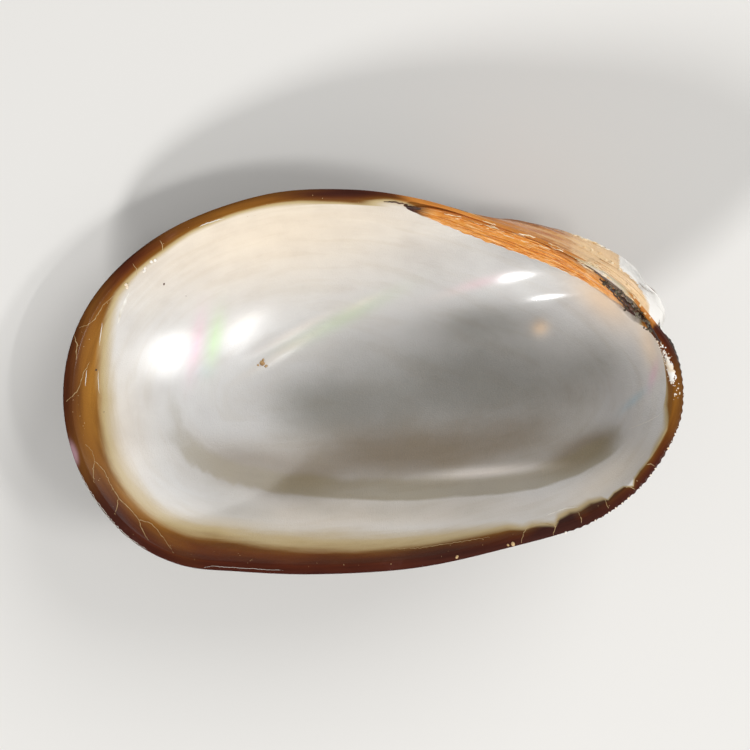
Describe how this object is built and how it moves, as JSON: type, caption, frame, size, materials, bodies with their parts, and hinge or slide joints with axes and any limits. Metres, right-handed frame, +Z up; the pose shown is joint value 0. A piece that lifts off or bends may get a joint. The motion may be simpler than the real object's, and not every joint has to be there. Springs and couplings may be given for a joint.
{
  "type": "mussel shell",
  "caption": "One left valve of an arctic mussel lying on its back with the pearly hollow up, and the torn strip of ligament in its hinge ledge.",
  "frame": {"origin": "centre of the underside of the valve's box, on the surface that it lies on", "axes": "+X to the front end with the beak, +Y to the hinge side, +Z up out of the hollow"},
  "size_m": [0.0478, 0.0292, 0.0136],
  "materials": {
    "shell": "pearly and glossy inside, brown horny skin outside",
    "ligament": "torn, fibrous, slightly glossy"
  },
  "bodies": {
    "root": {"valve": "shell", "ligament": "ligament"}
  },
  "joints": []
}
